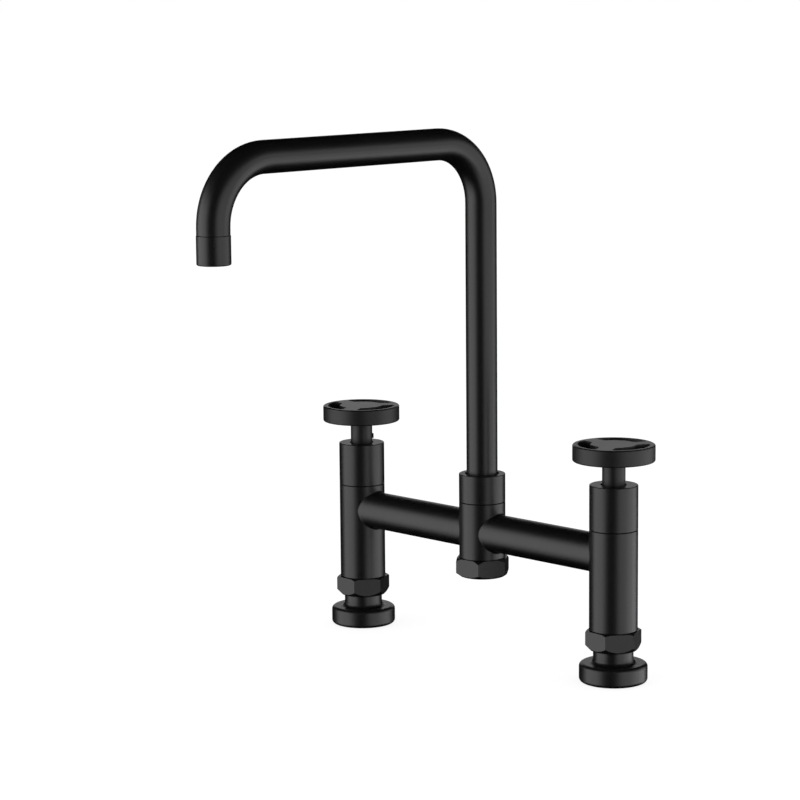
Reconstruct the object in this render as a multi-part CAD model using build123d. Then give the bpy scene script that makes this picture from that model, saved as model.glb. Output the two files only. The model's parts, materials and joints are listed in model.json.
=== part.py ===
from build123d import *
from math import cos, hypot, radians, sin
import os

# A two-handle bridge kitchen faucet, in millimetres.
#
# Two columns rise from the sink deck. Each is a base flange, a union nut, a valve body and a cap, with a
# quarter-turn ceramic cartridge inside and a handwheel on top. Bridge tubes carry the water to a centre
# body, where a tall spout swivels in a collar.
#
# Frame: the origin is on the deck, midway between the inlets. +Z is up, +X runs along the bridge to the
# user's right, and the spout reaches over the sink towards -Y.

# ---------------------------------------------------------------- overall sizes
INLET_SPACING = 203.2       # 8 inch centres
BRIDGE_HEIGHT = 71.3        # deck to the axis of the bridge tubes
SPOUT_REACH = 200.0         # swivel axis to outlet axis
SPOUT_HEIGHT = 297.2        # deck to the axis of the spout's level run

# ---------------------------------------------------------------- clearances
THREAD_GAP = 0.02           # between a male and a female thread, both modelled as plain cylinders
BRAZE_GAP = 0.02            # round a brazed tube end
RUNNING_GAP = 0.05          # radial or axial play of a part that turns
JOINT_LINE = 0.25           # the fine groove left between two screwed-up shells
LINE_CHAMFER = 0.2          # the broken edge on each side of such a groove

# ---------------------------------------------------------------- column: base and union
SEAL_THICKNESS = 1.6        # squeezed flush with the flange's underside
SEAL_WIDTH = 4.0
SEAL_INSET = 2.7            # flange's edge to seal's edge
SEAL_GROOVE_GAP = 0.1
FLANGE_RADIUS = 19.2
FLANGE_THICKNESS = 10.8
FLANGE_ROUNDING = 2.2
NECK_COVE = 2.5             # the hollow curve where neck meets flange
NECK_SHOWN = 7.5            # neck between flange and union nut
INLET_THREAD_RADIUS = 9.3155    # minor radius of the G1/2 female thread
INLET_THREAD_DEPTH = 12.0
NIPPLE_RADIUS = 9.0
NIPPLE_LENGTH = 6.5
NIPPLE_BORE = 7.0
NIPPLE_COLLAR = 2.0
NIPPLE_COLLAR_INSET = 0.3   # collar's edge to the union thread
UNION_INSET = 1.1           # column's surface to the union thread
UNION_WASHER = 1.8
UNION_WASHER_WIDTH = 5.0
NUT_HEIGHT = 11.0
NUT_WALL = 1.5              # union thread to the middle of a flat
NUT_LIP = 2.2
NUT_LIP_STEP = 1.2          # union thread to the neck
NUT_GAP = 0.15              # between the nut's lip and the neck
NUT_TOP_CONE = 0.7          # height of the cone that takes off the corners
NUT_TOP_LAND = 0.9          # the top's round face reaches this far beyond the flats
NUT_FOOT_CONE = 3.1
NUT_FOOT_LAND = 1.75        # flat ring left round the lip's hole
NUT_SHOULDER_GAP = 0.4      # nut to the valve body's shoulder
NUT_TURN = {"left": -3.2, "right": -4.6}    # degrees that each nut stopped at when it was tightened

# ---------------------------------------------------------------- column: valve body and cap
COLUMN_RADIUS = 13.6
COLUMN_WALL = 2.7
COLUMN_FOOT_BORE = 9.0
SEAT_DROP = 14.8            # bridge axis down to the cartridge's seat
SEAT_WEB = 4.0
BODY_JOINT_RISE = 15.1      # bridge axis up to the joint between body and cap
BODY_SPIGOT = 6.6           # screwed length inside the cap
CAP_WALL = 1.3
CAP_TOP_WALL = 2.5
CAP_HOLE_GAP = 0.7          # dark ring round the handwheel's neck
CAP_ROUNDING = 0.5

# ---------------------------------------------------------------- cartridge
SEAT_WASHER = 2.0
SEAT_WASHER_WIDTH = 1.8
SEAT_LEDGE = 2.0            # disc's edge to the hole in the seat
SEAT_WASHER_BITE = 0.3      # the washer stands out of the cage by this much
CAGE_GAP = 0.5              # cage to the valve body's chamber
CAGE_WALL = 1.35
CAGE_WINDOWS = 4
CAGE_WINDOW_WIDTH = 8.0
CAGE_WINDOW_HEIGHT = 9.0
CAGE_ROOF_RISE = 6.7        # bridge axis up to the cage's roof
CAGE_ROOF = 1.0
DISC_THICKNESS = 3.5
DISC_GAP = 0.02
DISC_KEY_WIDTH = 3.0        # two lugs keep the fixed disc from turning in the cage
MOVING_DISC_INSET = 0.3
PORT_INNER = 2.5
PORT_EDGE = 2.2             # disc's edge to its ports
PORT_HALF_ANGLE = 40.0
TONGUE_WIDTH = 3.0
TONGUE_LENGTH = 12.0
TONGUE_DEPTH = 1.4
FOOT_WIDTH = 7.0
FOOT_THICKNESS = 2.5
FOOT_INSET = 0.4
STEM_RADIUS = 4.0
THRUST_COLLAR_RADIUS = 6.5
THRUST_COLLAR = 2.0
TRAVEL = {"left": 90.0, "right": -90.0}     # each spindle's turn from shut to open
STOP_LUG_ANGLE = 30.0       # the collar's lug, which meets the cage's rib at either end of the travel
STOP_PLAY = 1.0             # degrees left at each end
STOP_GAP = 0.4              # radial air of lug and rib
STEM_RING_SECTION = 1.5     # section diameter of the spindle's seal rings
STEM_RING_PITCH = 4.5
BODY_RING_SECTION = 1.8     # section diameter of the cartridge's and spout's seal rings
RING_GROOVE_GAP = 0.2       # a groove is wider than its ring by this much on each side
CARTRIDGE_FLANGE = 2.0
CARTRIDGE_FLANGE_INSET = 0.4
HEX_ACROSS_FLATS = 20.0
HEX_HEIGHT = 4.0
CARTRIDGE_NECK = 6.0
CARTRIDGE_NECK_RADIUS = 6.5
CLIP_THICKNESS = 1.0
CLIP_RADIUS = 5.5
CLIP_GROOVE_RADIUS = 3.3
CLIP_OPENING = 4.0

# ---------------------------------------------------------------- handwheel
WHEEL_RADIUS = 23.0
WHEEL_THICKNESS = 9.4
WHEEL_ROUNDING = 0.9
WINDOW_COUNT = 3
RIM_WIDTH = 3.0             # wheel's edge to the windows
HUB_RADIUS = 13.0
SPOKE_WIDTH = 9.6
SPOKE_ANGLE = 55.0          # direction of the first spoke, from +X
WINDOW_HUB_CORNER = 2.6
WINDOW_RIM_CORNER = 1.1
WINDOW_ROUNDING = 0.5
HANDLE_NECK_RADIUS = 6.5
HANDLE_NECK_SHOWN = 13.3    # cap to wheel
HANDLE_NECK_ENTRY = 1.2     # how far the neck reaches below the cap's top wall
HANDLE_NECK_AIR = 1.95      # spindle clip to the neck
SPLINE_TEETH = 20
SPLINE_DEPTH = 0.35
SPLINE_ENGAGED = 13.0
SPLINE_END_GAP = 0.5
GRUB_RADIUS = 1.5
GRUB_RISE = 3.8             # cap's top to the grub screw
GRUB_PROUD = 0.8
GRUB_KEY = 1.5              # across the flats of its socket
GRUB_KEY_DEPTH = 1.2
GRUB_GROOVE_DEPTH = 0.6
GRUB_DIRECTION = {"left": 45.0, "right": 135.0}     # towards the back of the sink

# ---------------------------------------------------------------- bridge and centre body
BRIDGE_RADIUS = 11.0
BRIDGE_WALL = 1.5
BRIDGE_STUB = 3.0           # from the column or the centre body to the brazed joint
BRIDGE_FILLET = 1.2         # where a stub leaves the column or the centre body
CENTRE_RADIUS = 13.45
CENTRE_WALL = 3.45
CAP_NUT_HEIGHT = 11.0
CAP_NUT_DROP = 15.4         # bridge axis down to the cap nut's top
CAP_NUT_FLOOR = 3.2
CAP_NUT_INSET = 1.15        # centre body's surface to the cap nut's thread
CAP_NUT_WALL = 2.0
CAP_NUT_TOP_CONE = 1.8
CAP_NUT_TOP_LAND = 0.6
CAP_NUT_FOOT_CONE = 2.5
CAP_NUT_FOOT_RADIUS = 13.0
CAP_NUT_FOOT_ROUNDING = 1.0
CAP_NUT_TURN = 5.6
CAP_NUT_WASHER = 2.0
CAP_NUT_WASHER_INNER = 8.5

# ---------------------------------------------------------------- spout swivel
COLLAR_JOINT_RISE = 17.5    # bridge axis up to the joint between body and collar
COLLAR_SPIGOT = 8.2
COLLAR_INSET = 1.25         # centre body's surface to the collar's thread
COLLAR_LIP = 4.0
COLLAR_HOLE_GAP = 0.9       # dark ring round the spout
COLLAR_ROUNDING = 0.4
GLIDE_RING = 1.0
SPIGOT_LENGTH = 15.0        # spout nipple below its flange
SPIGOT_FLANGE = 2.2
SPIGOT_FLANGE_INSET = 0.4
SPIGOT_BORE = 6.0
SPIGOT_SOCKET = 9.0         # length brazed into the tube
SPOUT_RING_LOW = 4.0        # spigot's end to the middle of its lower ring
SPOUT_RING_PITCH = 5.5

# ---------------------------------------------------------------- spout and aerator
TUBE_RADIUS = 9.0
TUBE_WALL = 1.4
BEND_RADIUS = 35.0
SPOUT_DROP = 3.7            # straight tube between the last bend and the aerator
AERATOR_LENGTH = 15.9
AERATOR_STEP = 0.2          # the housing is this much larger than the tube
AERATOR_ROUNDING = 0.9
SPOUT_THREAD_LENGTH = 8.5
SPOUT_THREAD_INSET = 0.5
AERATOR_WASHER = 1.5
AERATOR_WASHER_WIDTH = 1.5
AERATOR_FLANGE = 1.2
AERATOR_BODY_RADIUS = 7.4
AERATOR_RECESS = 0.8
AERATOR_GAP = 0.1
CELL_RADIUS = 0.8           # honeycomb cell, centre to corner
SCREEN_HOLE = 0.6
CELL_PITCH = 1.9
CELL_RINGS = 3              # rings of cells round the middle one
SCREEN_THICKNESS = 0.5
SCREEN_INSET = 0.3

# ---------------------------------------------------------------- levels, from the deck up
half_spacing = INLET_SPACING / 2
flange_top = FLANGE_THICKNESS
nut_bottom = flange_top + NECK_SHOWN
nut_top = nut_bottom + NUT_HEIGHT
neck_top = nut_bottom + NUT_LIP
union_face = neck_top + NIPPLE_COLLAR
body_foot = union_face + UNION_WASHER
body_shoulder = nut_top + NUT_SHOULDER_GAP
seat = BRIDGE_HEIGHT - SEAT_DROP
body_joint = BRIDGE_HEIGHT + BODY_JOINT_RISE
body_top = body_joint + BODY_SPIGOT

fixed_disc_foot = seat + SEAT_WASHER
moving_disc_foot = fixed_disc_foot + DISC_THICKNESS + DISC_GAP
spindle_foot = moving_disc_foot + DISC_THICKNESS + DISC_GAP
cage_roof = BRIDGE_HEIGHT + CAGE_ROOF_RISE
cartridge_head = body_top + CARTRIDGE_FLANGE + HEX_HEIGHT
cartridge_top = cartridge_head + CARTRIDGE_NECK
clip_foot = cartridge_top + RUNNING_GAP
clip_top = clip_foot + CLIP_THICKNESS

handle_neck_foot = clip_top + HANDLE_NECK_AIR
cap_ceiling = handle_neck_foot + HANDLE_NECK_ENTRY
cap_top = cap_ceiling + CAP_TOP_WALL
wheel_foot = cap_top + HANDLE_NECK_SHOWN
wheel_top = wheel_foot + WHEEL_THICKNESS
spindle_top = handle_neck_foot + SPLINE_ENGAGED
grub_height = cap_top + GRUB_RISE

cap_nut_top = BRIDGE_HEIGHT - CAP_NUT_DROP
cap_nut_foot = cap_nut_top - CAP_NUT_HEIGHT
cap_nut_floor = cap_nut_foot + CAP_NUT_FLOOR
centre_foot = cap_nut_floor + CAP_NUT_WASHER
collar_foot = BRIDGE_HEIGHT + COLLAR_JOINT_RISE
centre_top = collar_foot + COLLAR_SPIGOT
spigot_flange_foot = centre_top + GLIDE_RING + RUNNING_GAP
spigot_flange_top = spigot_flange_foot + SPIGOT_FLANGE
upper_glide_foot = spigot_flange_top + RUNNING_GAP
collar_ceiling = upper_glide_foot + GLIDE_RING
collar_top = collar_ceiling + COLLAR_LIP
spigot_foot = spigot_flange_foot - SPIGOT_LENGTH

aerator_top = SPOUT_HEIGHT - BEND_RADIUS - SPOUT_DROP
aerator_foot = aerator_top - AERATOR_LENGTH
tube_end = aerator_top - SPOUT_THREAD_LENGTH
aerator_shelf = tube_end - AERATOR_WASHER - AERATOR_FLANGE

# ---------------------------------------------------------------- radii worked out from the above
union_radius = COLUMN_RADIUS - UNION_INSET
neck_radius = union_radius - NUT_LIP_STEP
chamber_radius = COLUMN_RADIUS - COLUMN_WALL
cap_bore = COLUMN_RADIUS - CAP_WALL
cage_radius = chamber_radius - CAGE_GAP
cage_bore = cage_radius - CAGE_WALL
disc_radius = cage_bore - RUNNING_GAP
seat_bore = disc_radius - SEAT_LEDGE
port_outer = disc_radius - PORT_EDGE
stop_radius = cage_bore - STOP_GAP
bridge_bore = BRIDGE_RADIUS - BRIDGE_WALL
centre_bore = CENTRE_RADIUS - CENTRE_WALL
cap_nut_bore = CENTRE_RADIUS - CAP_NUT_INSET
collar_bore = CENTRE_RADIUS - COLLAR_INSET
tube_bore = TUBE_RADIUS - TUBE_WALL
spout_thread = TUBE_RADIUS - SPOUT_THREAD_INSET
aerator_radius = TUBE_RADIUS + AERATOR_STEP
seal_outer = FLANGE_RADIUS - SEAL_INSET
seal_inner = seal_outer - SEAL_WIDTH

SAME = 0.001                # two measures closer than this are the same


# ---------------------------------------------------------------- helpers
def turned(*outline):
    """A solid turned about Z from its (radius, height) outline."""
    return revolve(Plane.XZ * make_face(Polyline(*outline, close=True)), Axis.Z)


def rod(radius, foot, top):
    return Pos(0, 0, foot) * Cylinder(radius, top - foot, align=(Align.CENTER, Align.CENTER, Align.MIN))


def ring(inner, outer, foot, top):
    return rod(outer, foot, top) - rod(inner, foot - 1, top + 1)


def rims(solid, *places):
    """The circular edges of a solid at these (radius, height) places."""
    found = []
    for edge in solid.edges().filter_by(GeomType.CIRCLE):
        for radius, height in places:
            if abs(edge.radius - radius) < SAME and abs(edge.arc_center.Z - height) < SAME:
                found.append(edge)
    return found


def rounded(solid, amount, *places):
    return fillet(rims(solid, *places), amount)


def bevelled(solid, amount, *places):
    return chamfer(rims(solid, *places), amount)


def hexagon(across_flats, foot, top, turn=0.0):
    outline = RegularPolygon(across_flats / 2, 6, major_radius=False)
    return Pos(0, 0, foot) * Rot(0, 0, turn) * extrude(outline, top - foot)


def nut_blank(across_flats, turn, foot, foot_radius, foot_cone, top, top_radius, top_cone):
    """A hexagon whose corners are turned off by a cone at each end."""
    corner = across_flats / 2 / cos(radians(30))
    cones = turned(
        (0, foot),
        (foot_radius, foot),
        (corner, foot + foot_cone),
        (corner, top - top_cone),
        (top_radius, top),
        (0, top),
    )
    return hexagon(across_flats, foot, top, turn) & cones


def side_bar(radius, height, turn, length):
    """A round bar from the Z axis outwards, in the direction `turn` degrees from +X."""
    bar = Cylinder(radius, length, align=(Align.CENTER, Align.CENTER, Align.MIN))
    return Pos(0, 0, height) * Rot(0, 0, turn) * Rot(0, 90, 0) * bar


def seal_ring(outer_radius, section, height):
    """A round-section ring that touches a wall of outer_radius."""
    return Pos(0, 0, height) * Torus(outer_radius - section / 2, section / 2)


def ring_groove(outer_radius, section, height):
    """The cutter for the groove that a seal ring sits in."""
    half_width = section / 2 + RING_GROOVE_GAP
    floor = outer_radius - section - THREAD_GAP
    return ring(floor, outer_radius + section, height - half_width, height + half_width)


def sector(inner, outer, middle, angle, foot, top):
    """Part of a ring: `angle` degrees of it, round the direction `middle` degrees from +X."""
    section = Plane.XZ * Pos(inner, foot) * Rectangle(outer - inner, top - foot, align=Align.MIN)
    return Rot(0, 0, middle - angle / 2) * revolve(section, Axis.Z, angle)


def sector_ports(turn, foot, top):
    """The cutters for the two opposite ports of a ceramic disc."""
    return [
        sector(PORT_INNER, port_outer, turn + side, 2 * PORT_HALF_ANGLE, foot, top) for side in (0, 180)
    ]


def spline(tip, depth, teeth, foot, top):
    """A splined bar: straight-sided teeth round a core."""
    points = []
    for step in range(2 * teeth):
        radius = tip if step % 2 == 0 else tip - depth
        angle = radians(step * 180 / teeth)
        points.append((radius * cos(angle), radius * sin(angle)))
    return Pos(0, 0, foot) * extrude(make_face(Polyline(*points, close=True)), top - foot)


def honeycomb(outline, foot, top):
    """Cutters of this outline on a triangular grid, in rings round the middle one."""
    row_step = CELL_PITCH * cos(radians(30))
    cells = []
    for row in range(-CELL_RINGS, CELL_RINGS + 1):
        in_row = 2 * CELL_RINGS + 1 - abs(row)
        for column in range(in_row):
            x = (column - (in_row - 1) / 2) * CELL_PITCH
            cells.append(Pos(x, row * row_step, foot) * extrude(outline, top - foot))
    return cells


# ---------------------------------------------------------------- base and union
def inlet_base():
    """Flange and neck in one, with the supply's female thread below and the nipple's above."""
    base = turned(
        (INLET_THREAD_RADIUS, 0),
        (FLANGE_RADIUS, 0),
        (FLANGE_RADIUS, flange_top),
        (neck_radius, flange_top),
        (neck_radius, neck_top),
        (NIPPLE_RADIUS + THREAD_GAP, neck_top),
        (NIPPLE_RADIUS + THREAD_GAP, INLET_THREAD_DEPTH),
        (INLET_THREAD_RADIUS, INLET_THREAD_DEPTH),
    )
    base = rounded(base, FLANGE_ROUNDING, (FLANGE_RADIUS, 0), (FLANGE_RADIUS, flange_top))
    base = rounded(base, NECK_COVE, (neck_radius, flange_top))
    return base - ring(seal_inner - SEAL_GROOVE_GAP, seal_outer + SEAL_GROOVE_GAP, -1, SEAL_THICKNESS)


def deck_seal():
    return ring(seal_inner, seal_outer, 0, SEAL_THICKNESS)


def union_nipple():
    """A short tube whose collar is caught under the union nut's lip."""
    collar_radius = union_radius - NIPPLE_COLLAR_INSET
    return turned(
        (NIPPLE_BORE, neck_top - NIPPLE_LENGTH),
        (NIPPLE_RADIUS, neck_top - NIPPLE_LENGTH),
        (NIPPLE_RADIUS, neck_top),
        (collar_radius, neck_top),
        (collar_radius, union_face),
        (NIPPLE_BORE, union_face),
    )


def union_nut(turn):
    """Turns freely on the neck; its lip pulls the nipple's collar up to the valve body."""
    lip = neck_radius + NUT_GAP
    flat = union_radius + NUT_WALL
    nut = nut_blank(
        2 * flat,
        turn,
        nut_bottom,
        lip + NUT_FOOT_LAND,
        NUT_FOOT_CONE,
        nut_top,
        flat + NUT_TOP_LAND,
        NUT_TOP_CONE,
    )
    return nut - rod(lip, nut_bottom - 1, nut_top + 1) - rod(union_radius + THREAD_GAP, neck_top, nut_top + 1)


def union_washer():
    outer = union_radius - NIPPLE_COLLAR_INSET
    return ring(outer - UNION_WASHER_WIDTH, outer, union_face, body_foot)


# ---------------------------------------------------------------- valve body and cap
def with_stubs(body, radius, bore, bore_foot, bore_top, *turns):
    """Adds the stubs that the bridge tubes are brazed to, with filleted roots, and bores them through."""
    for turn in turns:
        body += side_bar(BRIDGE_RADIUS, BRIDGE_HEIGHT, turn, radius + BRIDGE_STUB)
    roots = []
    for edge in body.edges().filter_by(GeomType.CIRCLE, reverse=True):
        point = edge @ 0.3
        if abs(hypot(point.X, point.Y) - radius) < SAME and abs(point.Z - BRIDGE_HEIGHT) < BRIDGE_RADIUS:
            roots.append(edge)
    body = fillet(roots, BRIDGE_FILLET) - rod(bore, bore_foot, bore_top)
    for turn in turns:
        body -= side_bar(bridge_bore, BRIDGE_HEIGHT, turn, 2 * radius)
    return body


def valve_body(bridge_side):
    """The column's lower shell: union thread, seat web, cartridge chamber and cap thread."""
    cap_thread = cap_bore - THREAD_GAP
    body = turned(
        (COLUMN_FOOT_BORE, body_foot),
        (union_radius, body_foot),
        (union_radius, body_shoulder),
        (COLUMN_RADIUS, body_shoulder),
        (COLUMN_RADIUS, body_joint),
        (cap_thread, body_joint),
        (cap_thread, body_top),
        (chamber_radius, body_top),
        (chamber_radius, seat),
        (seat_bore, seat),
        (seat_bore, seat - SEAT_WEB),
        (COLUMN_FOOT_BORE, seat - SEAT_WEB),
    )
    body = bevelled(body, LINE_CHAMFER, (COLUMN_RADIUS, body_joint), (COLUMN_RADIUS, body_shoulder))
    return with_stubs(body, COLUMN_RADIUS, chamber_radius, seat, body_top, bridge_side)


def valve_cap():
    """The column's upper shell, screwed over the valve body, with a hole for the handwheel's neck."""
    foot = body_joint + JOINT_LINE
    hole = HANDLE_NECK_RADIUS + CAP_HOLE_GAP
    cap = turned(
        (cap_bore, foot),
        (COLUMN_RADIUS, foot),
        (COLUMN_RADIUS, cap_top),
        (hole, cap_top),
        (hole, cap_ceiling),
        (cap_bore, cap_ceiling),
    )
    cap = bevelled(cap, LINE_CHAMFER, (COLUMN_RADIUS, foot), (hole, cap_top))
    return rounded(cap, CAP_ROUNDING, (COLUMN_RADIUS, cap_top))


# ---------------------------------------------------------------- cartridge
body_ring_height = BRIDGE_HEIGHT + bridge_bore + BODY_RING_SECTION
first_stem_ring = cage_roof + STEM_RING_PITCH


def cartridge_body(travel):
    """Cage with side windows, stop rib, thread, hexagon and the spindle's bearing."""
    cage_foot = seat + SEAT_WASHER_BITE
    thread = chamber_radius - THREAD_GAP
    bearing = STEM_RADIUS + RUNNING_GAP
    body = turned(
        (cage_bore, cage_foot),
        (cage_radius, cage_foot),
        (cage_radius, cage_roof + CAGE_ROOF),
        (thread, cage_roof + CAGE_ROOF),
        (thread, body_top),
        (cap_bore - CARTRIDGE_FLANGE_INSET, body_top),
        (cap_bore - CARTRIDGE_FLANGE_INSET, body_top + CARTRIDGE_FLANGE),
        (CARTRIDGE_NECK_RADIUS, body_top + CARTRIDGE_FLANGE),
        (CARTRIDGE_NECK_RADIUS, cartridge_top),
        (bearing, cartridge_top),
        (bearing, cage_roof),
        (cage_bore, cage_roof),
    )
    spanner_hexagon = hexagon(HEX_ACROSS_FLATS, body_top + CARTRIDGE_FLANGE, cartridge_head)
    body += spanner_hexagon - rod((bearing + CARTRIDGE_NECK_RADIUS) / 2, body_top, cartridge_top)
    body -= ring_groove(chamber_radius, BODY_RING_SECTION, body_ring_height)
    body -= disc_keys(DISC_KEY_WIDTH + 2 * RUNNING_GAP, cage_radius + 1, cage_foot - 1, moving_disc_foot)
    window = Box(
        cage_radius + 1,
        CAGE_WINDOW_WIDTH,
        CAGE_WINDOW_HEIGHT,
        align=(Align.MIN, Align.CENTER, Align.CENTER),
    )
    for turn in range(CAGE_WINDOWS):
        body -= Pos(0, 0, BRIDGE_HEIGHT) * Rot(0, 0, turn * 360 / CAGE_WINDOWS) * window
    rib_foot = cage_roof - RUNNING_GAP - THRUST_COLLAR
    rib_angle = 360 - abs(travel) - STOP_LUG_ANGLE - 2 * STOP_PLAY
    return body + sector(
        THRUST_COLLAR_RADIUS + STOP_GAP,
        (cage_bore + cage_radius) / 2,
        travel / 2 + 180,
        rib_angle,
        rib_foot,
        cage_roof + CAGE_ROOF / 2,
    )


def seat_washer():
    return ring(disc_radius - SEAT_WASHER_WIDTH, disc_radius, seat, fixed_disc_foot)


def disc_keys(width, radius, foot, top):
    """Two lugs opposite each other, or their slots in the cage."""
    bar = Box(width, 4 * radius, top - foot, align=(Align.CENTER, Align.CENTER, Align.MIN))
    return Pos(0, 0, foot) * bar & ring(disc_radius - CAGE_WALL, radius, foot, top)


def fixed_disc():
    """Ceramic disc with its ports across the moving disc's, so that the valve is shut at rest."""
    top = fixed_disc_foot + DISC_THICKNESS
    disc = rod(disc_radius, fixed_disc_foot, top)
    disc += disc_keys(DISC_KEY_WIDTH, cage_radius, fixed_disc_foot, top)
    for port in sector_ports(90, fixed_disc_foot - 1, top + 1):
        disc -= port
    return disc


def moving_disc():
    top = moving_disc_foot + DISC_THICKNESS
    disc = rod(disc_radius - MOVING_DISC_INSET, moving_disc_foot, top)
    for port in sector_ports(0, moving_disc_foot - 1, top + 1):
        disc -= port
    slot = Box(
        TONGUE_WIDTH + 2 * RUNNING_GAP,
        TONGUE_LENGTH + 2 * RUNNING_GAP,
        TONGUE_DEPTH + RUNNING_GAP,
        align=(Align.CENTER, Align.CENTER, Align.MAX),
    )
    return disc - Pos(0, 0, top) * slot


def spindle():
    """Tongue, foot, thrust collar with its stop lug, sealed stem, clip groove and spline, all in one bar."""
    collar_top_face = cage_roof - RUNNING_GAP
    collar_foot_face = collar_top_face - THRUST_COLLAR
    stem = rod(STEM_RADIUS, spindle_foot, clip_top)
    stem += rod(THRUST_COLLAR_RADIUS, collar_foot_face, collar_top_face)
    stem += sector(STEM_RADIUS, stop_radius, 0, STOP_LUG_ANGLE, collar_foot_face, collar_top_face)
    foot_bar = Box(
        FOOT_WIDTH,
        4 * disc_radius,
        FOOT_THICKNESS,
        align=(Align.CENTER, Align.CENTER, Align.MIN),
    )
    foot_disc = rod(disc_radius - FOOT_INSET, spindle_foot, spindle_foot + FOOT_THICKNESS)
    stem += Pos(0, 0, spindle_foot) * foot_bar & foot_disc
    tongue = Box(TONGUE_WIDTH, TONGUE_LENGTH, TONGUE_DEPTH, align=(Align.CENTER, Align.CENTER, Align.MAX))
    stem += Pos(0, 0, spindle_foot) * tongue
    stem += spline(STEM_RADIUS, SPLINE_DEPTH, SPLINE_TEETH, clip_top, spindle_top)
    for count in range(2):
        height = first_stem_ring + count * STEM_RING_PITCH
        stem -= ring_groove(STEM_RADIUS + RUNNING_GAP / 2, STEM_RING_SECTION, height)
    stem -= ring(CLIP_GROOVE_RADIUS, STEM_RADIUS + 1, clip_foot, clip_top)
    grub_floor = STEM_RADIUS - SPLINE_DEPTH - GRUB_GROOVE_DEPTH
    grub_half = GRUB_RADIUS + GRUB_GROOVE_DEPTH
    stem -= ring(grub_floor, STEM_RADIUS + 1, grub_height - grub_half, grub_height + grub_half)
    return stem


def spindle_o_rings():
    outer = STEM_RADIUS + RUNNING_GAP / 2
    heights = [first_stem_ring, first_stem_ring + STEM_RING_PITCH]
    return Compound([seal_ring(outer, STEM_RING_SECTION, height) for height in heights])


def spindle_clip():
    """An open spring clip that sits in the spindle's groove."""
    clip = ring(CLIP_GROOVE_RADIUS + THREAD_GAP, CLIP_RADIUS, clip_foot, clip_top)
    mouth = Rectangle(CLIP_OPENING, 2 * CLIP_RADIUS, align=(Align.CENTER, Align.MIN))
    return clip - Pos(0, 0, clip_foot - 1) * extrude(mouth, CLIP_THICKNESS + 2)


def cartridge_o_ring():
    return seal_ring(chamber_radius, BODY_RING_SECTION, body_ring_height)


# ---------------------------------------------------------------- handwheel
def wheel_windows():
    """The curved windows left between hub, rim and spokes, as one flat sketch."""
    windows = Circle(WHEEL_RADIUS - RIM_WIDTH) - Circle(HUB_RADIUS)
    for count in range(WINDOW_COUNT):
        spoke = Rectangle(WHEEL_RADIUS, SPOKE_WIDTH, align=(Align.MIN, Align.CENTER))
        windows -= Rot(0, 0, SPOKE_ANGLE + count * 360 / WINDOW_COUNT) * spoke
    near_hub = [corner for corner in windows.vertices() if Vector(corner).length < HUB_RADIUS + SAME]
    windows = fillet(near_hub, WINDOW_HUB_CORNER)
    near_rim = [
        corner for corner in windows.vertices() if Vector(corner).length > WHEEL_RADIUS - RIM_WIDTH - SAME
    ]
    return fillet(near_rim, WINDOW_RIM_CORNER)


def handwheel(grub_direction):
    """A thick disc with three windows, on a neck that is splined onto the spindle."""
    wheel = rod(WHEEL_RADIUS, wheel_foot, wheel_top)
    wheel = rounded(wheel, WHEEL_ROUNDING, (WHEEL_RADIUS, wheel_foot), (WHEEL_RADIUS, wheel_top))
    wheel -= Pos(0, 0, wheel_foot - 1) * extrude(wheel_windows(), WHEEL_THICKNESS + 2)
    top_face = wheel.faces().sort_by(Axis.Z)[-1]
    window_edges = [edge for wire in top_face.inner_wires() for edge in wire.edges()]
    wheel = fillet(window_edges, WINDOW_ROUNDING)
    wheel += rod(HANDLE_NECK_RADIUS, handle_neck_foot, wheel_foot)
    wheel -= spline(
        STEM_RADIUS + RUNNING_GAP,
        SPLINE_DEPTH,
        SPLINE_TEETH,
        handle_neck_foot - 1,
        spindle_top + SPLINE_END_GAP,
    )
    hole = side_bar(GRUB_RADIUS + THREAD_GAP, grub_height, grub_direction, HANDLE_NECK_RADIUS + 1)
    return wheel - hole


def grub_screw(direction):
    """A headless screw with a hexagonal socket, its tip in the spindle's groove."""
    tip = STEM_RADIUS - SPLINE_DEPTH - GRUB_GROOVE_DEPTH + THREAD_GAP
    end = HANDLE_NECK_RADIUS + GRUB_PROUD
    screw = rod(GRUB_RADIUS, tip, end)
    screw = bevelled(screw, LINE_CHAMFER, (GRUB_RADIUS, tip), (GRUB_RADIUS, end))
    screw -= hexagon(GRUB_KEY, end - GRUB_KEY_DEPTH, end + 1)
    return Pos(0, 0, grub_height) * Rot(0, 0, direction) * Rot(0, 90, 0) * screw


# ---------------------------------------------------------------- bridge and centre body
def bridge_tube(side):
    """A plain tube, brazed end to end to the stubs of the column and the centre body."""
    inner_end = CENTRE_RADIUS + BRIDGE_STUB + BRAZE_GAP
    outer_end = half_spacing - COLUMN_RADIUS - BRIDGE_STUB - BRAZE_GAP
    tube = ring(bridge_bore, BRIDGE_RADIUS, inner_end, outer_end)
    return Pos(0, 0, BRIDGE_HEIGHT) * Rot(0, side * 90, 0) * tube


def centre_body():
    """The mixing tee: cap nut's thread below, two side ports, swivel bore and collar's thread above."""
    cap_thread = cap_nut_bore - THREAD_GAP
    collar_thread = collar_bore - THREAD_GAP
    shoulder = cap_nut_top + JOINT_LINE
    body = turned(
        (centre_bore, centre_foot),
        (cap_thread, centre_foot),
        (cap_thread, shoulder),
        (CENTRE_RADIUS, shoulder),
        (CENTRE_RADIUS, collar_foot),
        (collar_thread, collar_foot),
        (collar_thread, centre_top),
        (centre_bore, centre_top),
    )
    body = bevelled(body, LINE_CHAMFER, (CENTRE_RADIUS, collar_foot))
    return with_stubs(body, CENTRE_RADIUS, centre_bore, centre_foot, centre_top, 0, 180)


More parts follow.
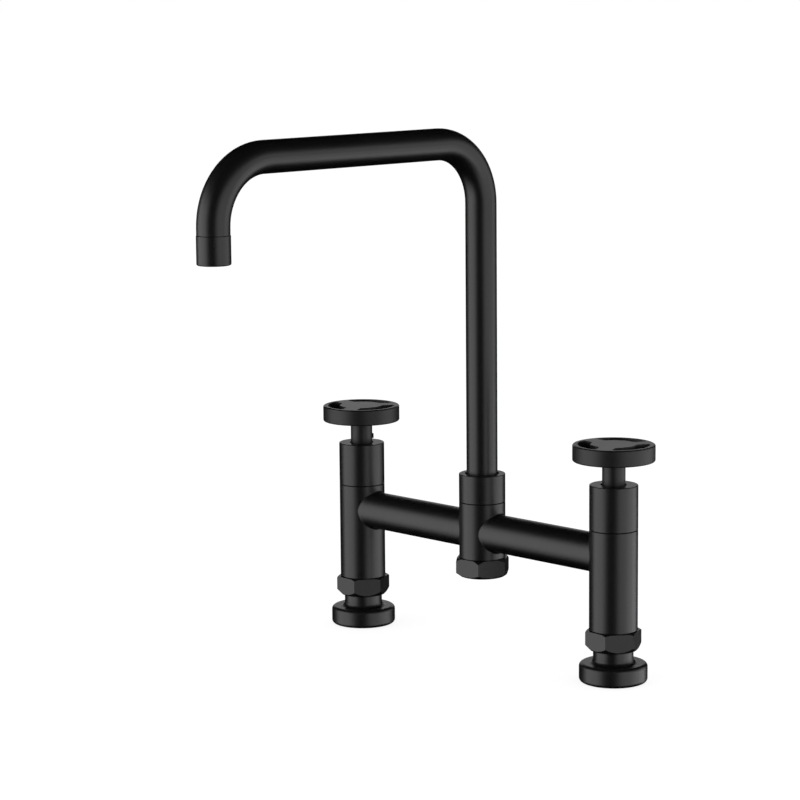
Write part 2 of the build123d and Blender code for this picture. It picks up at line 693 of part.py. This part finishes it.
def centre_cap_nut():
    """Closes the centre body from below."""
    flat = cap_nut_bore + CAP_NUT_WALL
    nut = nut_blank(
        2 * flat,
        CAP_NUT_TURN,
        cap_nut_foot,
        CAP_NUT_FOOT_RADIUS,
        CAP_NUT_FOOT_CONE,
        cap_nut_top,
        flat + CAP_NUT_TOP_LAND,
        CAP_NUT_TOP_CONE,
    )
    nut = rounded(nut, CAP_NUT_FOOT_ROUNDING, (CAP_NUT_FOOT_RADIUS, cap_nut_foot))
    return nut - rod(cap_nut_bore, cap_nut_floor, cap_nut_top + 1)


def centre_cap_washer():
    return ring(CAP_NUT_WASHER_INNER, cap_nut_bore - THREAD_GAP, cap_nut_floor, centre_foot)


def spout_collar():
    """The shell that traps the spout's nipple between two glide rings."""
    foot = collar_foot + JOINT_LINE
    hole = TUBE_RADIUS + COLLAR_HOLE_GAP
    collar = turned(
        (collar_bore, foot),
        (CENTRE_RADIUS, foot),
        (CENTRE_RADIUS, collar_top),
        (hole, collar_top),
        (hole, collar_ceiling),
        (collar_bore, collar_ceiling),
    )
    collar = bevelled(collar, LINE_CHAMFER, (CENTRE_RADIUS, foot), (hole, collar_top))
    return rounded(collar, COLLAR_ROUNDING, (CENTRE_RADIUS, collar_top))


def glide_ring(foot):
    outer = collar_bore - SPIGOT_FLANGE_INSET / 2
    return ring(centre_bore, outer, foot, foot + GLIDE_RING)


# ---------------------------------------------------------------- spout
spigot_radius = centre_bore - RUNNING_GAP
spout_ring_heights = [spigot_foot + SPOUT_RING_LOW + count * SPOUT_RING_PITCH for count in range(2)]


def spout_nipple():
    """The swivel's spigot: two ring grooves, a flange, and a socket brazed into the tube."""
    socket = tube_bore - BRAZE_GAP
    flange = collar_bore - SPIGOT_FLANGE_INSET
    nipple = turned(
        (SPIGOT_BORE, spigot_foot),
        (spigot_radius, spigot_foot),
        (spigot_radius, spigot_flange_foot),
        (flange, spigot_flange_foot),
        (flange, spigot_flange_top),
        (socket, spigot_flange_top),
        (socket, spigot_flange_top + SPIGOT_SOCKET),
        (SPIGOT_BORE, spigot_flange_top + SPIGOT_SOCKET),
    )
    for height in spout_ring_heights:
        nipple -= ring_groove(centre_bore - THREAD_GAP, BODY_RING_SECTION, height)
    return nipple


def spout_o_rings():
    outer = centre_bore - THREAD_GAP
    return Compound([seal_ring(outer, BODY_RING_SECTION, height) for height in spout_ring_heights])


def spout_tube():
    """One tube with two quarter bends, threaded outside at its end for the aerator housing."""
    path = FilletPolyline(
        (0, 0, spigot_flange_top),
        (0, 0, SPOUT_HEIGHT),
        (0, -SPOUT_REACH, SPOUT_HEIGHT),
        (0, -SPOUT_REACH, tube_end),
        radius=BEND_RADIUS,
    )
    section = Pos(0, 0, spigot_flange_top) * (Circle(TUBE_RADIUS) - Circle(tube_bore))
    turned_down = ring(spout_thread, TUBE_RADIUS + 1, tube_end - 1, aerator_top)
    return sweep(section, path) - Pos(0, -SPOUT_REACH, 0) * turned_down


# ---------------------------------------------------------------- aerator
def aerator_housing():
    foot = aerator_foot
    top = aerator_top - JOINT_LINE
    outlet = AERATOR_BODY_RADIUS + AERATOR_GAP
    housing = turned(
        (outlet, foot),
        (aerator_radius, foot),
        (aerator_radius, top),
        (spout_thread + THREAD_GAP, top),
        (spout_thread + THREAD_GAP, aerator_shelf),
        (outlet, aerator_shelf),
    )
    housing = bevelled(housing, LINE_CHAMFER, (aerator_radius, top))
    return rounded(housing, AERATOR_ROUNDING, (aerator_radius, foot))


def aerator_washer():
    return ring(spout_thread - AERATOR_WASHER_WIDTH, spout_thread, tube_end - AERATOR_WASHER, tube_end)


def aerator_cartridge():
    """A flanged honeycomb that turns the stream into straight threads of water."""
    face = aerator_foot + AERATOR_RECESS
    flange_top_face = aerator_shelf + AERATOR_FLANGE
    cartridge = rod(AERATOR_BODY_RADIUS, face, aerator_shelf)
    cartridge += rod(spout_thread - AERATOR_GAP, aerator_shelf, flange_top_face)
    for cell in honeycomb(RegularPolygon(CELL_RADIUS, 6, rotation=30), face - 1, flange_top_face + 1):
        cartridge -= cell
    return cartridge


def aerator_screen():
    """The strainer that lies on the cartridge, inside the washer."""
    foot = aerator_shelf + AERATOR_FLANGE
    screen = rod(spout_thread - AERATOR_WASHER_WIDTH - SCREEN_INSET, foot, foot + SCREEN_THICKNESS)
    for cell in honeycomb(Circle(SCREEN_HOLE), foot - 1, foot + SCREEN_THICKNESS + 1):
        screen -= cell
    return screen


# ---------------------------------------------------------------- assembly
pieces = {}
for name, side, bridge_side in (("left", -1, 0), ("right", 1, 180)):
    place = Pos(side * half_spacing, 0, 0)
    travel = TRAVEL[name]
    column = {
        "inlet_base": inlet_base(),
        "deck_seal": deck_seal(),
        "union_nipple": union_nipple(),
        "union_nut": union_nut(NUT_TURN[name]),
        "union_washer": union_washer(),
        "valve_body": valve_body(bridge_side),
        "valve_cap": valve_cap(),
        "cartridge_body": cartridge_body(travel),
        "cartridge_o_ring": cartridge_o_ring(),
        "seat_washer": seat_washer(),
        "fixed_disc": fixed_disc(),
        "moving_disc": moving_disc(),
        "spindle": spindle(),
        "spindle_o_rings": spindle_o_rings(),
        "spindle_clip": spindle_clip(),
        "handwheel": handwheel(GRUB_DIRECTION[name]),
        "grub_screw": grub_screw(GRUB_DIRECTION[name]),
    }
    for piece, solid in column.items():
        pieces[f"{name}_{piece}"] = place * solid
    pieces[f"{name}_bridge_tube"] = bridge_tube(side)

pieces["centre_body"] = centre_body()
pieces["centre_cap_nut"] = centre_cap_nut()
pieces["centre_cap_washer"] = centre_cap_washer()
pieces["spout_collar"] = spout_collar()
pieces["lower_glide_ring"] = glide_ring(centre_top)
pieces["upper_glide_ring"] = glide_ring(upper_glide_foot)
pieces["spout_nipple"] = spout_nipple()
pieces["spout_o_rings"] = spout_o_rings()
pieces["spout_tube"] = spout_tube()

outlet = Pos(0, -SPOUT_REACH, 0)
pieces["aerator_housing"] = outlet * aerator_housing()
pieces["aerator_washer"] = outlet * aerator_washer()
pieces["aerator_cartridge"] = outlet * aerator_cartridge()
pieces["aerator_screen"] = outlet * aerator_screen()

os.makedirs("parts", exist_ok=True)
for name, solid in pieces.items():
    export_step(solid, f"parts/{name}.step")
print(len(pieces), "pieces written")
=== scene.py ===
# %% [markdown]
# # A bridge kitchen faucet in satin black
#
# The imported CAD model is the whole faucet: 49 solids, each already in its place. What is missing
# is how it looks. This lesson gives every solid its finish, adds the threads inside the inlets,
# and builds the small studio that a black product needs. A black thing shows almost nothing of
# its own colour. What the eye reads is what it reflects, so the lights and the dark cards matter
# as much as the paint.

import json
from math import cos, pi, radians, sin, tan

import bmesh
import bpy
from mathutils import Matrix, Vector

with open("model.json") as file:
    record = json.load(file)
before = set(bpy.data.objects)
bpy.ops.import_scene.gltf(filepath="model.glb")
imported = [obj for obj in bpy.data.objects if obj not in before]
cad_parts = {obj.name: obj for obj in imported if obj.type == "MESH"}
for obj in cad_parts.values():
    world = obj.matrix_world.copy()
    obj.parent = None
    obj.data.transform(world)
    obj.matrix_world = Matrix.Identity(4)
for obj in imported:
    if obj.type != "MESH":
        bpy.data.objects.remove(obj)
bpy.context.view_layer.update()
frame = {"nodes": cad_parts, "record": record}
nodes = frame["nodes"]
MM = 0.001

# %% [markdown]
# ## Writing a finish as sums
#
# A finish in Blender is a graph of nodes. It could be wired by hand in the editor, or in Python
# with one line for every node and link, but either way the formula behind it is hard to see. Here
# one small class holds a socket, adds, multiplies and divides it, and takes it from a number as in
# 1 - mask, so that a pattern reads like a sum. Each operator adds one Math node, and whatever
# isn't plain arithmetic goes through `node`.

# %% A socket that does arithmetic
class Signal:
    """One output socket of a node tree."""

    def __init__(self, tree, socket):
        self.tree = tree
        self.socket = socket

    def math(self, operation, *values):
        """A Math node whose first input is this socket."""
        inputs = dict(enumerate((self, *values)))
        return node(self.tree, "ShaderNodeMath", {"operation": operation}, inputs)

    def __add__(self, other):
        return self.math("ADD", other)

    def __rsub__(self, other):
        return node(self.tree, "ShaderNodeMath", {"operation": "SUBTRACT"}, {0: other, 1: self})

    def __mul__(self, other):
        return self.math("MULTIPLY", other)

    def __truediv__(self, other):
        return self.math("DIVIDE", other)

    __radd__ = __add__
    __rmul__ = __mul__

    def smooth(self, start, end):
        """0 below start, 1 above end, with a soft step between."""
        settings = {"interpolation_type": "SMOOTHSTEP"}
        values = {"Value": self, "From Min": start, "From Max": end}
        return node(self.tree, "ShaderNodeMapRange", settings, values, "Result")

    def outputs(self, *names):
        """Other outputs of the node that this socket belongs to."""
        return [Signal(self.tree, self.socket.node.outputs[name]) for name in names]


def node(tree, kind, settings=None, inputs=None, output=0):
    """Adds a node: its settings first, then the value or the link of each socket."""
    made = tree.nodes.new(kind)
    for name, value in (settings or {}).items():
        setattr(made, name, value)
    for name, value in (inputs or {}).items():
        if isinstance(value, Signal):
            tree.links.new(value.socket, made.inputs[name])
        else:
            made.inputs[name].default_value = value
    return Signal(tree, made.outputs[output]) if made.outputs else None


print("a Signal knows a + b, a * b, a / b, 1 - a and a.smooth(start, end)")

# %% [markdown]
# ## Where a pattern gets its place from
#
# Every pattern has to know where on the faucet it is. A UV map could say it, but 49 solids would
# have to be unwrapped, and the coat would show a seam wherever two islands meet. The object's own
# coordinates need no work: each solid lies at the origin with its place in its mesh, so they are
# plain metres in the faucet's frame. A pattern then runs on from one solid to the next, and it
# goes with its solid when a handle turns.

# %% Starting a finish and closing it
def blank_material(name):
    """A material with an empty node tree."""
    material = bpy.data.materials.new(name)
    material.use_nodes = True
    material.node_tree.nodes.clear()
    return material


def new_finish(name):
    """A blank material, its node tree, and the object's own coordinates in metres."""
    material = blank_material(name)
    tree = material.node_tree
    return material, tree, node(tree, "ShaderNodeTexCoord", output="Object")


def show(tree, shader):
    """Makes a shader the surface of its material."""
    node(tree, "ShaderNodeOutputMaterial", inputs={"Surface": shader})


def paint(tree, **sockets):
    """A Principled surface, with its sockets set by their names in the editor."""
    inputs = {name.replace("_", " "): value for name, value in sockets.items()}
    show(tree, node(tree, "ShaderNodeBsdfPrincipled", inputs=inputs, output="BSDF"))


print("a finish starts with new_finish and ends with paint")

# %% [markdown]
# ## Three building blocks
#
# All the finishes are put together from the same three things: cloudy patches, a blend of two
# near colours, and a height that tilts the shading as a real dimple would. Real dimples could be
# modelled, but at a hundredth of a millimetre they would take millions of faces, so they are a
# bump.

# %% Patches, blends and bumps
MIX_FIRST, MIX_SECOND, MIX_RESULT = 6, 7, 2  # the Mix node's sockets that carry colours


def noise(tree, place, scale, detail=2.0):
    """Cloudy patches from 0 to 1, about 1 / scale metres wide."""
    values = {"Vector": place, "Scale": scale, "Detail": detail}
    return node(tree, "ShaderNodeTexNoise", inputs=values, output="Fac")


def blend_colours(tree, share, first, second):
    """The first colour where share is 0, and the second where it is 1."""
    values = {"Factor": share, MIX_FIRST: first, MIX_SECOND: second}
    return node(tree, "ShaderNodeMix", {"data_type": "RGBA"}, values, MIX_RESULT)


def raised(tree, height, depth):
    """A bump: where height is 1 the surface stands depth metres higher than where it is 0."""
    values = {"Height": height, "Distance": depth, "Strength": 1.0}
    return node(tree, "ShaderNodeBump", inputs=values, output="Normal")


print("blocks:", ", ".join(block.__name__ for block in (noise, blend_colours, raised)))

# %% [markdown]
# ## Satin black coat
#
# The faucet is brass under a black coat a few hundredths of a millimetre thick. The coat is
# sprayed on, so it has no grain or brush marks, but it isn't optically flat either: it has a very
# shallow orange peel, and its gloss drifts a little from place to place. A scanned picture could
# show both, but it would repeat, so both are made from noise. The colour stays near black,
# because the grey that the photograph shows is all reflection.

# %% Satin black
DARK_BLACK = (0.0022, 0.0022, 0.0025, 1)
LIGHT_BLACK = (0.0034, 0.0034, 0.0037, 1)
COAT_ROUGHNESS = 0.34
DRIFT_SCALE, DRIFT_ROUGHNESS = 55.0, 0.05  # patches about 18 mm wide
PEEL_SCALE, PEEL_ROUGHNESS = 1500.0, 0.03  # dimples about 0.7 mm wide
PEEL_DEPTH = 0.012 * MM


def coat_patterns(tree, place):
    """The slow drift of the coat's colour and gloss, and its orange peel."""
    return noise(tree, place, DRIFT_SCALE, detail=3.0), noise(tree, place, PEEL_SCALE)


def coat_colour(tree, drift):
    return blend_colours(tree, drift, DARK_BLACK, LIGHT_BLACK)


def coat_roughness(drift, peel, base=COAT_ROUGHNESS):
    return base + drift * DRIFT_ROUGHNESS + peel * PEEL_ROUGHNESS


def satin_black():
    """The coat of every black piece that has no finish of its own."""
    material, tree, place = new_finish("satin_black_coat")
    drift, peel = coat_patterns(tree, place)
    paint(
        tree,
        Base_Color=coat_colour(tree, drift),
        Roughness=coat_roughness(drift, peel),
        Normal=raised(tree, peel, PEEL_DEPTH),
    )
    return material


coat = satin_black()
print(coat.name, "has", len(coat.node_tree.nodes), "nodes")

# %% [markdown]
# ## The handwheels' coat
#
# A handwheel is a casting whose flat top is turned. Under the same coat the turned top is
# smoother than the rims and the neck, so it mirrors the background more clearly. Two materials
# on two sets of faces could show that, but the sets would have to be picked by hand. One finish
# that looks at the height does it for both wheels, with a soft step just below the top.

# %% Duller below the flat top
CAST_ROUGHNESS = 0.46
CAST_BELOW, TURNED_ABOVE = 0.9 * MM, 0.3 * MM  # both measured down from the flat top


def axes(tree, place):
    """The x, y and z of a place, as three signals."""
    return node(tree, "ShaderNodeSeparateXYZ", inputs={0: place}).outputs("X", "Y", "Z")


def handwheel_black(top):
    """The coat of a wheel whose flat top lies at that height."""
    material, tree, place = new_finish("handwheel_coat")
    drift, peel = coat_patterns(tree, place)
    height = axes(tree, place)[2]
    cast = 1 - height.smooth(top - CAST_BELOW, top - TURNED_ABOVE)
    base = COAT_ROUGHNESS + cast * (CAST_ROUGHNESS - COAT_ROUGHNESS)
    paint(
        tree,
        Base_Color=coat_colour(tree, drift),
        Roughness=coat_roughness(drift, peel, base),
        Normal=raised(tree, peel, PEEL_DEPTH),
    )
    return material


wheel_top = max(corner.co.z for corner in nodes["left_handwheel"].data.vertices)
wheel_coat = handwheel_black(wheel_top)
print("wheel top at", round(wheel_top / MM, 2), "mm")

# %% [markdown]
# ## Turned brass and steel
#
# The union's nipples, the cartridges and the spindles come off a lathe, whose edge leaves fine
# rings round the axis. The rings could be cut as grooves, at the price of thousands of faces that
# hardly show, so they are a wave that feeds a shallow bump and the roughness. All these pieces
# stand upright, so bands that are level are rings. Brass is yellow all through, and only its
# oxide film makes it drift a little in colour.

# %% Metal from a lathe
DARK_BRASS, LIGHT_BRASS = (0.60, 0.40, 0.16, 1), (0.72, 0.50, 0.22, 1)
DARK_STEEL, LIGHT_STEEL = (0.50, 0.50, 0.51, 1), (0.62, 0.62, 0.63, 1)
METAL_ROUGHNESS, RING_ROUGHNESS = 0.25, 0.12
RING_DEPTH = 0.003 * MM
METAL_DRIFT_SCALE = 80.0
WAVE_PERIOD = 0.314  # metres from band to band of a wave texture whose scale is 1


def turned_metal(name, dark, light, ring_pitch):
    """Metal with fine level rings, and a colour that drifts a little."""
    material, tree, place = new_finish(name)
    drift = noise(tree, place, METAL_DRIFT_SCALE)
    settings = {"wave_type": "BANDS", "bands_direction": "Z"}
    scale = WAVE_PERIOD / ring_pitch
    values = {"Vector": place, "Scale": scale, "Distortion": 1.5, "Detail": 2.0}
    rings = node(tree, "ShaderNodeTexWave", settings, values, "Fac")
    paint(
        tree,
        Base_Color=blend_colours(tree, drift, dark, light),
        Metallic=1.0,
        Roughness=METAL_ROUGHNESS + rings * RING_ROUGHNESS,
        Normal=raised(tree, rings, RING_DEPTH),
    )
    return material


brass = turned_metal("turned_brass", DARK_BRASS, LIGHT_BRASS, ring_pitch=0.35 * MM)
steel = turned_metal("stainless_steel", DARK_STEEL, LIGHT_STEEL, ring_pitch=0.3 * MM)
print("metals:", brass.name, "and", steel.name)

# %% [markdown]
# ## Ceramic, rubber and plastic
#
# These are the discs that shut the water off, the seals, the rings that the spout glides on and
# the aerator's honeycomb. They show at the openings, and whenever someone hides a shell. None has
# a grain with a direction. Rubber is dull and slightly mottled, ceramic is lapped flat, and the
# plastics keep the faint unevenness of their mould. Four materials could be written out, but they
# differ only in their numbers, so one function makes them all.

# %% Moulded and lapped pieces
MOULD_DRIFT_SCALE = 60.0
DRIFT_SHARE, GRAIN_SHARE = 0.6, 0.4
GRAIN_ROUGHNESS = 0.1
GRAIN_DEPTH = 0.01 * MM


def moulded(name, dark, light, roughness, grain_scale):
    """One colour, with a slow drift and a fine, shallow grain."""
    material, tree, place = new_finish(name)
    drift = noise(tree, place, MOULD_DRIFT_SCALE)
    grain = noise(tree, place, grain_scale, detail=3.0)
    share = DRIFT_SHARE * drift + GRAIN_SHARE * grain
    paint(
        tree,
        Base_Color=blend_colours(tree, share, dark, light),
        Roughness=roughness + grain * GRAIN_ROUGHNESS,
        Normal=raised(tree, grain, GRAIN_DEPTH),
    )
    return material


ceramic = moulded(
    "lapped_ceramic",
    dark=(0.78, 0.76, 0.70, 1),
    light=(0.86, 0.84, 0.79, 1),
    roughness=0.25,
    grain_scale=3000.0,
)
rubber = moulded(
    "seal_rubber",
    dark=(0.012, 0.012, 0.012, 1),
    light=(0.03, 0.03, 0.03, 1),
    roughness=0.7,
    grain_scale=2200.0,
)
acetal = moulded(
    "white_acetal",
    dark=(0.74, 0.73, 0.69, 1),
    light=(0.80, 0.79, 0.76, 1),
    roughness=0.38,
    grain_scale=900.0,
)
grey_plastic = moulded(
    "grey_aerator_plastic",
    dark=(0.36, 0.38, 0.40, 1),
    light=(0.44, 0.46, 0.48, 1),
    roughness=0.42,
    grain_scale=900.0,
)
print("moulded:", ", ".join(made.name for made in (ceramic, rubber, acetal, grey_plastic)))

# %% [markdown]
# ## The inlet's bare thread
#
# The coat stops at the mouth of each inlet, because paint in a thread would crack and leak. The
# base node is one solid, so its finish tells the two apart by place: nearer to the column's axis
# than 9.5 mm and below the thread's end, the surface is bare brass with the thread's ridges, and
# elsewhere it is coat. A thread could be modelled too, but it is only seen from right below. It
# is a helix, and a helix is a wave whose phase grows with the height and with the angle about the
# axis. As a bump it is in step with a real G 1/2 pitch of 1.814 mm.

# %% Coat outside, threaded brass inside
INLET_X = 101.6 * MM
THREAD_PITCH = 1.814 * MM
THREAD_TOP, TOP_STEP = 12.0 * MM, 0.1 * MM
BARE_RADIUS, COAT_RADIUS = 9.45 * MM, 9.5 * MM
RIDGE_TO_PEEL = 33  # ridges 0.4 mm high, on the scale of the peel's depth


def coat_with_thread(name, axis_x):
    """The coat of an inlet base whose axis stands at that x, with its bare brass thread."""
    material, tree, place = new_finish(name)
    centring = {"Vector": place, "Location": (-axis_x, 0, 0)}
    x, y, z = axes(tree, node(tree, "ShaderNodeMapping", inputs=centring))
    radius = (x * x + y * y).math("SQRT")
    angle = y.math("ARCTAN2", x)
    in_bore = 1 - radius.smooth(BARE_RADIUS, COAT_RADIUS)
    inside = in_bore * (1 - z.smooth(THREAD_TOP, THREAD_TOP + TOP_STEP))
    turns = z / THREAD_PITCH + angle / (2 * pi)
    ridge = (turns * (2 * pi)).math("SINE") * 0.5 + 0.5
    drift, peel = coat_patterns(tree, place)
    bare = blend_colours(tree, drift, DARK_BRASS, LIGHT_BRASS)
    height = inside * ridge * RIDGE_TO_PEEL + (1 - inside) * peel
    paint(
        tree,
        Base_Color=blend_colours(tree, inside, coat_colour(tree, drift), bare),
        Metallic=inside,
        Roughness=coat_roughness(drift, peel),
        Normal=raised(tree, height, PEEL_DEPTH),
    )
    return material


base_coats = {
    "left": coat_with_thread("left_base_coat", -INLET_X),
    "right": coat_with_thread("right_base_coat", INLET_X),
}
print("thread of", round(THREAD_TOP / THREAD_PITCH, 1), "turns in each inlet")

# %% [markdown]
# ## Every solid gets its finish
#
# The finishes could be handed out one solid at a time, but the record already says which material
# slot each node takes, so one table from slot to finish dresses them all. The inlet bases and the
# handwheels then get their own finishes.

# %% Dress the solids
finishes = {
    "satin_black": coat,
    "brass": brass,
    "steel": steel,
    "ceramic": ceramic,
    "rubber": rubber,
    "white_plastic": acetal,
    "grey_plastic": grey_plastic,
}
for part in frame["record"]["subparts"]:
    worn = nodes[part["node"]].data.materials
    worn.clear()
    worn.append(finishes[part["material_slot"]])
for side, base_coat in base_coats.items():
    nodes[f"{side}_inlet_base"].data.materials[0] = base_coat
    nodes[f"{side}_handwheel"].data.materials[0] = wheel_coat

# %% [markdown]
# ## The camera
#
# A camera could be turned by eye until the view looks right, but then a wrong size hides in a
# wrong angle. Here it was fitted to points of the photograph instead, as a plain perspective
# camera without shift: it stands 1.59 m away, 45.9 degrees round to the right and 8.9 degrees up,
# rolled by half a degree, with a long lens.

# %% Camera
azimuth, elevation, roll = radians(45.936), radians(8.944), radians(-0.523)
AIM_HEIGHT = 0.148585  # about half the faucet's height
SIDESTEP, DISTANCE = -0.0472, 1.5906
FOCAL_PIXELS, PHOTO_PIXELS, SENSOR = 2754.5, 800, 36.0

back = Vector((
    sin(azimuth) * cos(elevation),
    -cos(azimuth) * cos(elevation),
    sin(elevation),
))
level = Vector((cos(azimuth), sin(azimuth), 0))
upward = back.cross(level)
right = level * cos(roll) + upward * sin(roll)
up = upward * cos(roll) - level * sin(roll)
stand = Vector((0, 0, AIM_HEIGHT)) + level * SIDESTEP + back * DISTANCE
camera = bpy.data.objects.new("camera", bpy.data.cameras.new("camera"))
camera.matrix_world = Matrix((
    (right.x, up.x, back.x, stand.x),
    (right.y, up.y, back.y, stand.y),
    (right.z, up.z, back.z, stand.z),
    (0, 0, 0, 1),
))
camera.data.sensor_width = SENSOR
camera.data.lens = FOCAL_PIXELS / PHOTO_PIXELS * SENSOR
camera.data.clip_end = 50
bpy.context.scene.collection.objects.link(camera)
bpy.context.scene.camera = camera
print("lens", round(camera.data.lens, 1), "mm")

# %% [markdown]
# ## Placing flat things round the faucet
#
# A photographer lights such a faucet with soft boxes and black boards. Each is a flat thing that
# stands upright and faces the faucet. It could be placed with three coordinates and three angles,
# but what counts in a reflection is the range of azimuths that it fills. So these helpers take
# that range, in degrees round from the camera, and work out the place and the width.

# %% Place and width from a range of azimuths
FOCUS_Y = -0.06  # everything faces an upright line just in front of the columns


def facing(azimuth_deg, height, distance):
    """A place round the faucet, azimuth from the camera's, whose -Z looks level at the line."""
    turn = azimuth + radians(azimuth_deg)
    spot = Vector((sin(turn) * distance, -cos(turn) * distance, height))
    look = Vector((0, FOCUS_Y, height)) - spot
    return Matrix.Translation(spot) @ look.to_track_quat("-Z", "Y").to_matrix().to_4x4()


def filling(azimuths, heights, distance):
    """The place, width and height of a flat thing between those azimuths and heights."""
    (first, last), (foot, top) = azimuths, heights
    width = 2 * distance * tan(radians((last - first) / 2))
    return facing((first + last) / 2, (foot + top) / 2, distance), width, top - foot


print("the camera's own side is at azimuth 0, its right at 90")

# %% [markdown]
# ## Soft panels
#
# The photograph's black faucet has two soft bands of light down each tube, and a dark middle
# between them. Small lamps would draw thin hard lines there, so the bands are the reflections of
# broad area lamps to the left and the right of the camera. The right one is near and in three
# pieces, the brightest low down, so that the columns catch more of it than the spout. A fainter
# panel between it and the camera softens the edge of its band.

# %% Panels
ALL_HEIGHTS = (-1.1, 0.95)
RIGHT_SIDE, NEAR = (56, 114), 0.7


def soft_panel(name, azimuths, heights, distance, radiance):
    """A lamp between those azimuths. At a radiance of 1 its face would look white."""
    place, width, tall = filling(azimuths, heights, distance)
    lamp = bpy.data.lights.new(name, "AREA")
    lamp.shape = "RECTANGLE"
    lamp.size, lamp.size_y = width, tall
    lamp.energy = radiance * pi * width * tall
    panel = bpy.data.objects.new(name, lamp)
    panel.matrix_world = place
    panel.visible_camera = False
    bpy.context.scene.collection.objects.link(panel)
    print(name, round(width, 2), "by", round(tall, 2), "m,", round(lamp.energy, 2), "W")


soft_panel("panel_left", (-107, -46), ALL_HEIGHTS, 1.25, radiance=1.1)
soft_panel("panel_right_low", RIGHT_SIDE, (-0.26, -0.04), NEAR, radiance=1.5)
soft_panel("panel_right_middle", RIGHT_SIDE, (-0.04, 0.15), NEAR, radiance=0.48)
soft_panel("panel_right_high", RIGHT_SIDE, (0.15, 0.6), NEAR, radiance=0.14)
soft_panel("panel_fill", (20, 54), ALL_HEIGHTS, 1.3, radiance=0.42)

# %% [markdown]
# ## Black cards
#
# Whatever isn't turned to a panel would mirror the white background. The card in front makes the
# dark middle of each tube. Those behind at the sides make the dark outline that keeps a black
# product from melting into a white page, and there is one each above and below. Straight behind,
# two cards leave a window open, because the level faces, such as the handwheels' tops, mirror the
# background through it. A darker world could do the same work, but then every colour would render
# darker than it is written. The cards are there for reflections alone, so they take no light from
# the colours or from the floor.

# %% Cards that only reflections see
CARD_BLACK = (0.002, 0.002, 0.002, 1)
CARD_FOOT, CARD_TOP = -1.0, 2.5
WINDOW_FOOT, WINDOW_TOP = 0.12, 0.6
IN_FRONT, BEHIND = 1.75, 1.6
CEILING, CELLAR, COVER_SIDE = 1.1, -1.2, 4.0

card_finish = blank_material("black_card")
card_tree = card_finish.node_tree
show(card_tree, node(card_tree, "ShaderNodeBsdfDiffuse", inputs={"Color": CARD_BLACK}))


def flat_sheet(name, width, tall, matrix, material):
    """A rectangle on the stage, made in place."""
    mesh = bmesh.new()
    bmesh.ops.create_grid(mesh, x_segments=1, y_segments=1, size=0.5)
    bmesh.ops.scale(mesh, vec=(width, tall, 1), verts=mesh.verts)
    bmesh.ops.transform(mesh, matrix=matrix, verts=mesh.verts)
    data = bpy.data.meshes.new(name)
    mesh.to_mesh(data)
    mesh.free()
    data.materials.append(material)
    sheet = bpy.data.objects.new(name, data)
    bpy.context.scene.collection.objects.link(sheet)
    return sheet


def black_card(name, matrix, width, tall):
    card = flat_sheet(name, width, tall, matrix, card_finish)
    card.visible_camera = False
    card.visible_diffuse = False
    card.visible_transmission = False
    card.visible_volume_scatter = False
    card.visible_shadow = False
    print(name, round(width, 2), "by", round(tall, 2), "m")


def upright_card(name, azimuths, distance, foot=CARD_FOOT, top=CARD_TOP):
    """A black card between those azimuths."""
    black_card(name, *filling(azimuths, (foot, top), distance))


upright_card("card_front", (-38, 14), IN_FRONT)
upright_card("card_back_left", (-160, -112), BEHIND)
upright_card("card_back_right", (122, 160), BEHIND)
upright_card("card_behind_low", (160, 200), BEHIND, top=WINDOW_FOOT)
upright_card("card_behind_high", (160, 200), BEHIND, foot=WINDOW_TOP)
black_card("card_above", Matrix.Translation((0, 0, CEILING)), COVER_SIDE, COVER_SIDE)
black_card("card_below", Matrix.Translation((0, 0, CELLAR)), COVER_SIDE, COVER_SIDE)

# %% [markdown]
# ## Floor and background
#
# The photograph's background is plain white. A grey floor could be lit until it is white, but
# that light would also fall on the faucet. So the world is plain white at strength 1, which is
# the background, and about the level of light at which a colour renders as it is written. The
# floor glows nearly white for rays that look straight at it, which the Light Path node tells
# apart, and adds a small diffuse share, which is what its soft shadow is made of. Reflections
# look through the floor: upright walls mirror what lies a little below the horizon, and there the
# panels and cards have to go on below the deck.

# %% Floor and world
FLOOR_SIDE, FLOOR_DROP = 40, 0.2 * MM
FLOOR_GREY, FLOOR_GLOW = (0.18, 0.18, 0.18, 1), 0.85
WHITE = (1, 1, 1, 1)


def seen_directly(tree):
    """1 for rays that look at the background: from the camera, in a reflection, through glass."""
    kinds = ("Is Camera Ray", "Is Glossy Ray", "Is Transmission Ray")
    camera_ray, glossy, through = node(tree, "ShaderNodeLightPath").outputs(*kinds)
    return camera_ray.math("MAXIMUM", glossy).math("MAXIMUM", through)


floor_finish = blank_material("pale_floor")
floor_tree = floor_finish.node_tree
diffuse = node(floor_tree, "ShaderNodeBsdfDiffuse", inputs={"Color": FLOOR_GREY})
light = {"Color": WHITE, "Strength": seen_directly(floor_tree) * FLOOR_GLOW}
glow = node(floor_tree, "ShaderNodeEmission", inputs=light)
show(floor_tree, node(floor_tree, "ShaderNodeAddShader", inputs={0: diffuse, 1: glow}))
below = Matrix.Translation((0, 0, -FLOOR_DROP))
floor = flat_sheet("floor", FLOOR_SIDE, FLOOR_SIDE, below, floor_finish)
floor.visible_glossy = False

world = bpy.data.worlds.new("studio")
bpy.context.scene.world = world
world.use_nodes = True
sky = world.node_tree
sky.nodes.clear()
white = node(sky, "ShaderNodeBackground", inputs={"Color": WHITE, "Strength": 1.0})
node(sky, "ShaderNodeOutputWorld", inputs={"Surface": white})
bpy.context.scene.view_settings.view_transform = "Standard"
print("floor", FLOOR_SIDE, "m square,", FLOOR_DROP / MM, "mm below the faucet")
